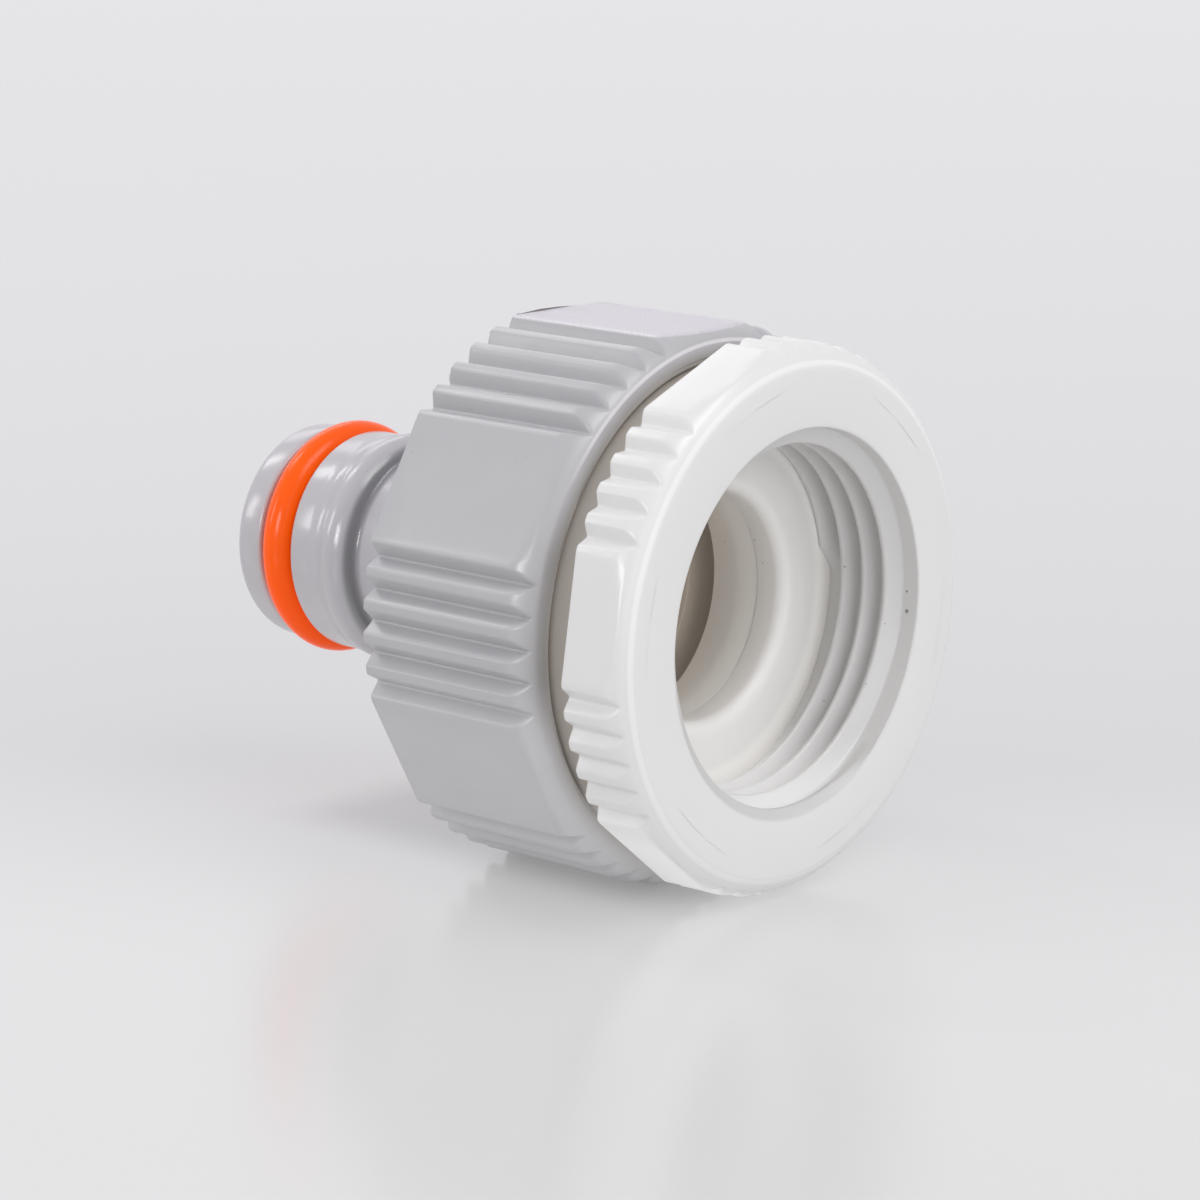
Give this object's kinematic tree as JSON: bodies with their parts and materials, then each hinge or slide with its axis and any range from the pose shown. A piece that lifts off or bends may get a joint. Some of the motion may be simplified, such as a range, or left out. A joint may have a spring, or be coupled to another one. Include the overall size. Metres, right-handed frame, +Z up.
{
  "type": "female tap connector",
  "caption": "Click-on nose connector for a garden tap, with a ribbed grip collar and a screw-in reducer ring for a smaller tap thread.",
  "frame": {"origin": "on the floor under the middle of the part, as it lies on one flat of its collar", "axes": "+X along the axis from the nose to the tap side, +Z up"},
  "size_m": [0.046, 0.039, 0.0381],
  "materials": {
    "grey_plastic": "satin moulded",
    "white_plastic": "satin moulded",
    "orange_rubber": "smooth",
    "white_rubber": "matt",
    "grey_rubber": "matt"
  },
  "bodies": {
    "body": {"connector_body": "grey_plastic", "nose_o_ring": "orange_rubber", "socket_washer": "grey_rubber"},
    "tap_seal": {"tap_washer": "white_rubber"},
    "ring": {"reducer_ring": "white_plastic"}
  },
  "joints": [
    {"name": "ring_travel", "type": "slide", "parent": "body", "child": "tap_seal", "axis": [1, 0, 0], "range_m": [-0.00231, 0.00693]},
    {"name": "ring_turn", "type": "hinge", "parent": "tap_seal", "child": "ring", "pos_m": [0.01303, 0, 0.01907], "axis": [1, 0, 0], "range_deg": [-360, 1080]}
  ],
  "couplings": [
    {"joint": "ring_travel", "follows": "ring_turn", "m_per_rad": 0.00036749}
  ]
}
